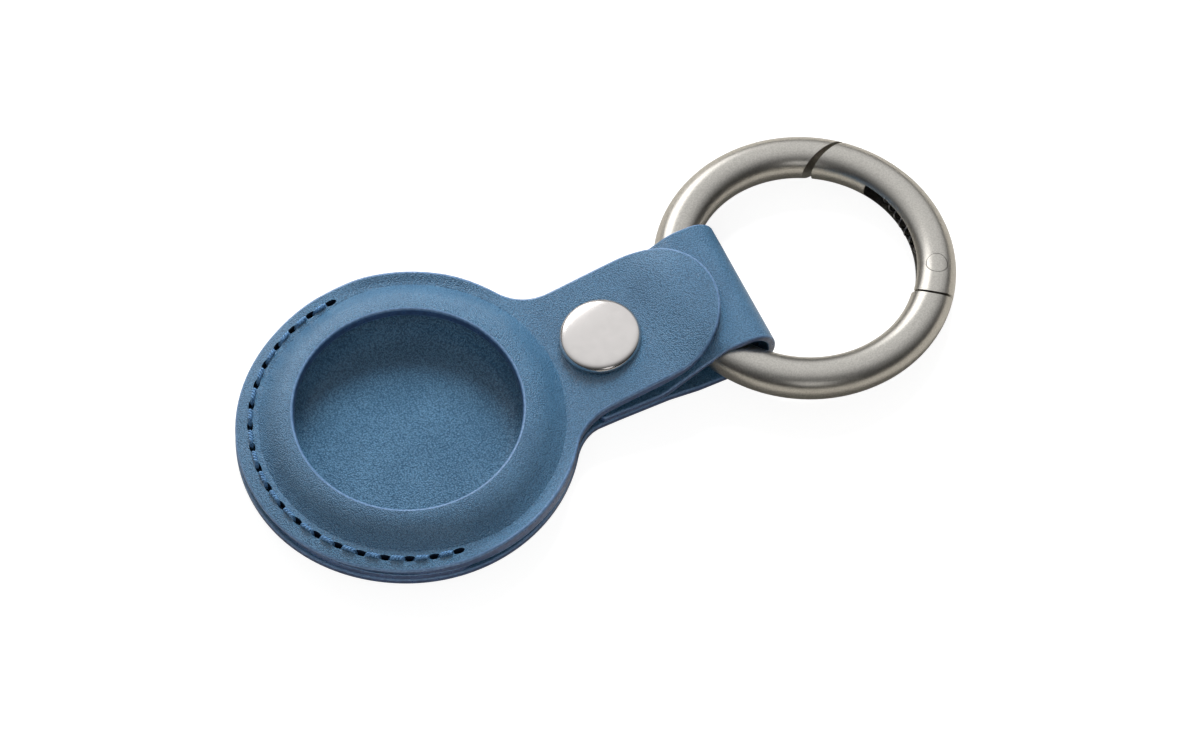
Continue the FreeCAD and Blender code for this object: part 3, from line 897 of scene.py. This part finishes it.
# Ring: a round tube bent to a ring, with a gate that turns in on a flush rivet and is held shut by a coil.
# Zinc alloy under satin nickel with softened edges. The plunger, and the snap's wires, are bare spring steel.
edge_round = 0.12
satin_nickel = metal("satin_nickel", linear(197, 193, 186), linear(179, 175, 168), 5200.0, 0.1, 0.28, 0.33)
spring_steel = metal("spring_steel", linear(122, 122, 122), linear(84, 84, 86), 3000.0, 0.2, 0.28, 0.4)
for name in ("ring_body", "ring_gate"):
    finish_node(name, satin_nickel)
    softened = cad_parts[name].modifiers.new("edge", "BEVEL")
    softened.width = edge_round * mm
    softened.segments = 2
    softened.limit_method = "ANGLE"
    softened.angle_limit = math.radians(55)
for name in ("spring_plunger", "snap_spring"):
    finish_node(name, spring_steel)

# Gate spring: a coil in the gate's slot that pushes the plunger against the tongue and keeps the gate shut.
# Spring steel wire 0.3 mm thick in nine turns. It sits at the slot's end, drawn at one length, and moves with
# the gate.
spring_wire = 0.3
spring_coil_radius = 0.75
spring_turns = 9
spring_foot = Vector((68.227, -4.727, 2.670)) * mm
spring_seat = Vector((68.133, 7.744, 2.674)) * mm
spring_axis = spring_seat - spring_foot
bpy.ops.object.select_all(action="DESELECT")
bpy.ops.mesh.primitive_circle_add(vertices=12, radius=spring_wire / 2 * mm, fill_type="NOTHING",
                                  location=(spring_coil_radius * mm, 0.0, 0.0),
                                  rotation=(math.pi / 2, 0.0, 0.0))
coil = bpy.context.object
coil.name = "gate_coil"
settle()
apply_modifier(coil, "SCREW", axis="Z", angle=2 * math.pi, screw_offset=spring_axis.length / spring_turns,
               iterations=spring_turns, steps=24, render_steps=24)
start_mesh_edit(coil)
bpy.ops.mesh.select_all(action="SELECT")
bpy.ops.mesh.fill_holes(sides=0)
bpy.ops.object.mode_set(mode="OBJECT")
coil.location = spring_foot
coil.rotation_euler = spring_axis.to_track_quat("Z", "Y").to_euler()
settle()
face_out(coil)
bpy.ops.object.shade_smooth_by_angle(angle=math.radians(40))
coil.data.materials.append(spring_steel)
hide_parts("gate_spring")
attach(coil, "gate")
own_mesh(coil)

# Gate rivet: a steel pin through gate and tongue, peened over and dressed flush with the tube, in the ring's
# satin nickel.
# Cut from a rod along the tube's own face, its rims eased so that a fine groove shows round each head.
ring_tilt = math.radians(2.14)
ring_middle = Vector((ring_place, 0.0, 3.21)) * mm
pin_radius = 1.3
pin_length = 9.0
pin_middle = Vector((68.248, -7.527, 2.669)) * mm
rim_ease = 0.16
bpy.ops.object.select_all(action="DESELECT")
bpy.ops.mesh.primitive_torus_add(location=ring_middle, rotation=(0.0, ring_tilt, 0.0),
                                 major_radius=ring_radius * mm, minor_radius=tube_radius * mm,
                                 major_segments=256, minor_segments=64)
tube = bpy.context.object
bpy.ops.mesh.primitive_cylinder_add(vertices=64, radius=pin_radius * mm, depth=pin_length * mm,
                                    location=pin_middle, rotation=(0.0, ring_tilt, 0.0))
rivet = bpy.context.object
rivet.name = "gate_rivet"
apply_modifier(rivet, "BOOLEAN", object=tube, operation="INTERSECT", solver="EXACT")
bpy.data.objects.remove(tube)
settle()
face_out(rivet)
apply_modifier(rivet, "BEVEL", width=rim_ease * mm, segments=3, limit_method="ANGLE",
               angle_limit=math.radians(45))
bpy.ops.object.shade_smooth_by_angle(angle=math.radians(40))
rivet.data.materials.append(satin_nickel)
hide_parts("gate_pin")
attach(rivet, "gate")
